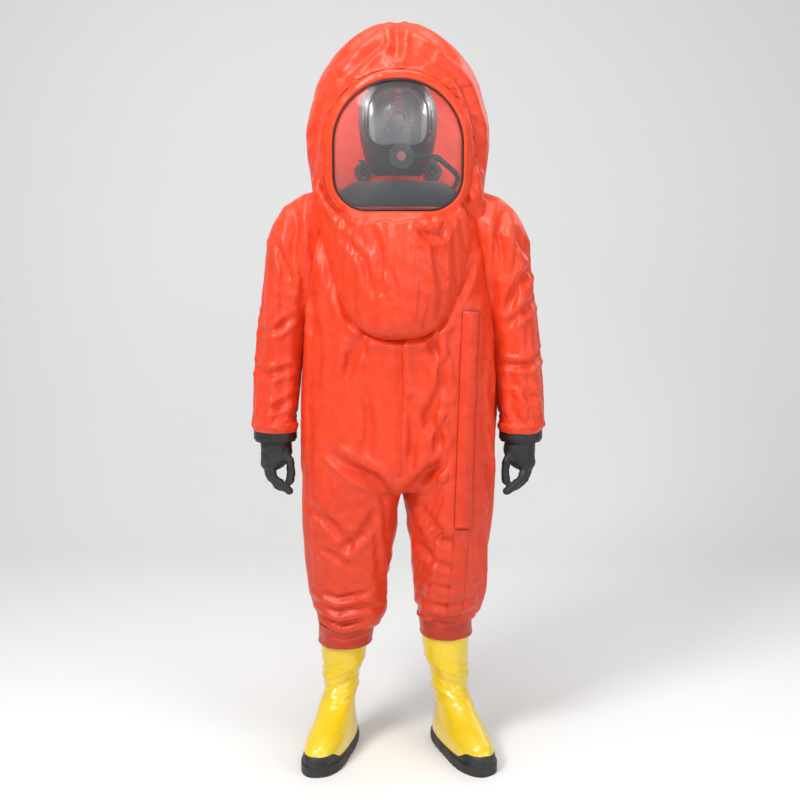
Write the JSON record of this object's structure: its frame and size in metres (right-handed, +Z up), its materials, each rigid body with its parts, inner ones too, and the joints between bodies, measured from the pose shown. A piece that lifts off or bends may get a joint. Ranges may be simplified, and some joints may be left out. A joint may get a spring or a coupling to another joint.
{
  "type": "chemical protective suit",
  "caption": "Gas-tight one-piece chemical protective suit with a hood and wide window, sleeves with gloves, trouser legs with rubber boots, a side zip and a breathing set inside.",
  "frame": {"origin": "middle of the bounding box in X and Y, on the floor plane under the boot soles", "axes": "+X towards the wearer's left, -Y the way the suit faces, +Z up"},
  "size_m": [0.7608, 0.4568, 1.86],
  "materials": {
    "suit_fabric": "semi-gloss coated",
    "suit_fabric_dark": "semi-gloss coated",
    "hood_fabric": "semi-gloss coated",
    "visor": "clear film with a light haze",
    "rim": "moulded, semi-gloss",
    "boot_yellow": "gloss",
    "sole_black": "matt",
    "glove_black": "matt",
    "ring_black": "satin",
    "valve_black": "satin",
    "mask_black": "satin",
    "mask_lens": "clear",
    "button_red": "gloss",
    "harness": "woven",
    "plate": "satin",
    "air_cylinder": "painted",
    "brass": "satin",
    "steel": "brushed",
    "zip_metal": "satin",
    "zip_tape": "satin"
  },
  "bodies": {
    "suit": {"air_cylinder": "air_cylinder", "air_hose": "mask_black", "air_inlet": "brass", "backplate": "plate", "cylinder_strap": "harness", "cylinder_valve": "brass", "demand_valve": "valve_black", "harness_yoke": "harness", "head_net": "harness", "hood_bib": "hood_fabric", "hood_left_panel": "hood_fabric", "hood_right_panel": "hood_fabric", "left_boot_sole": "sole_black", "left_boot_upper": "boot_yellow", "left_leg_hem": "suit_fabric_dark", "left_shoulder_panel": "suit_fabric", "left_toe_cap": "steel", "left_trouser_leg": "suit_fabric_dark", "left_valve_seat": "valve_black", "leg_tape": "suit_fabric", "mask_frame": "mask_black", "mask_lens": "mask_lens", "mask_seal": "mask_black", "nose_cup": "mask_black", "pack_pouch": "suit_fabric", "pressure_reducer": "brass", "right_boot_sole": "sole_black", "right_boot_upper": "boot_yellow", "right_leg_hem": "suit_fabric_dark", "right_shoulder_panel": "suit_fabric", "right_toe_cap": "steel", "right_trouser_leg": "suit_fabric_dark", "right_valve_seat": "valve_black", "torso_back_panel": "suit_fabric", "torso_front_panel": "suit_fabric", "visor_rim": "rim", "visor_window": "visor", "waist_belt": "harness", "zip_chain": "zip_metal", "zip_tape": "zip_tape"},
    "left_arm": {"left_upper_sleeve": "suit_fabric"},
    "left_forearm": {"left_lower_sleeve": "suit_fabric", "left_cuff_ring": "ring_black"},
    "left_hand": {"left_glove_ring": "ring_black", "left_glove": "glove_black"},
    "right_arm": {"right_upper_sleeve": "suit_fabric"},
    "right_forearm": {"right_lower_sleeve": "suit_fabric", "right_cuff_ring": "ring_black"},
    "right_hand": {"right_glove_ring": "ring_black", "right_glove": "glove_black"},
    "zip_slider": {"zip_slider": "zip_metal"},
    "zip_flap": {"zip_flap": "suit_fabric"},
    "left_valve_cap": {"left_valve_cap": "valve_black"},
    "left_valve_disc": {"left_valve_disc": "mask_black"},
    "right_valve_cap": {"right_valve_cap": "valve_black"},
    "right_valve_disc": {"right_valve_disc": "mask_black"},
    "inlet_cap": {"inlet_cap": "valve_black"},
    "purge_button": {"purge_button": "button_red"},
    "handwheel": {"handwheel": "ring_black"}
  },
  "joints": [
    {"name": "left_shoulder", "type": "hinge", "parent": "suit", "child": "left_arm", "pos_m": [0.236, 0, 1.322], "axis": [0, -1, 0], "range_deg": [0, 70]},
    {"name": "left_elbow", "type": "hinge", "parent": "left_arm", "child": "left_forearm", "pos_m": [0.31, 0.006, 1.05], "axis": [-1, 0, 0], "range_deg": [0, 80]},
    {"name": "left_glove_turn", "type": "hinge", "parent": "left_forearm", "child": "left_hand", "pos_m": [0.313, -0.024, 0.82], "axis": [0, 0, 1], "range_deg": [-25, 25]},
    {"name": "left_valve_cap_turn", "type": "hinge", "parent": "suit", "child": "left_valve_cap", "pos_m": [0.09585, 0.16615, 1.5], "axis": [0.3404, 0.9403, 0], "range_deg": [0, 60]},
    {"name": "left_valve_disc_lift", "type": "slide", "parent": "suit", "child": "left_valve_disc", "axis": [0.3404, 0.9403, 0], "range_m": [0, 0.0025], "stiffness_N_per_m": 40},
    {"name": "right_shoulder", "type": "hinge", "parent": "suit", "child": "right_arm", "pos_m": [-0.236, 0, 1.322], "axis": [0, 1, 0], "range_deg": [0, 70]},
    {"name": "right_elbow", "type": "hinge", "parent": "right_arm", "child": "right_forearm", "pos_m": [-0.31, 0.006, 1.05], "axis": [-1, 0, 0], "range_deg": [0, 80]},
    {"name": "right_glove_turn", "type": "hinge", "parent": "right_forearm", "child": "right_hand", "pos_m": [-0.313, -0.024, 0.82], "axis": [0, 0, 1], "range_deg": [-25, 25]},
    {"name": "right_valve_cap_turn", "type": "hinge", "parent": "suit", "child": "right_valve_cap", "pos_m": [-0.09585, 0.16615, 1.5], "axis": [-0.3404, 0.9403, 0], "range_deg": [0, 60]},
    {"name": "right_valve_disc_lift", "type": "slide", "parent": "suit", "child": "right_valve_disc", "axis": [-0.3404, 0.9403, 0], "range_m": [0, 0.0025], "stiffness_N_per_m": 40},
    {"name": "zip_slide", "type": "slide", "parent": "suit", "child": "zip_slider", "axis": [-0.0308, -0.0104, -0.9995], "range_m": [0, 0.45]},
    {"name": "zip_flap_hinge", "type": "hinge", "parent": "suit", "child": "zip_flap", "pos_m": [0.1408, -0.1405, 0.6208], "axis": [-0.0308, -0.0104, -0.9995], "range_deg": [0, 110]},
    {"name": "inlet_cap_turn", "type": "hinge", "parent": "suit", "child": "inlet_cap", "pos_m": [-0.118, 0.14512, 0.79], "axis": [-0.3388, 0.9409, 0], "range_deg": [0, 90]},
    {"name": "purge_button_push", "type": "slide", "parent": "suit", "child": "purge_button", "axis": [0, 1, 0], "range_m": [0, 0.003], "stiffness_N_per_m": 300},
    {"name": "handwheel_turn", "type": "hinge", "parent": "suit", "child": "handwheel", "pos_m": [-0.0384, 0.156, 0.967], "axis": [-1, 0, 0], "range_deg": [0, 540]}
  ]
}
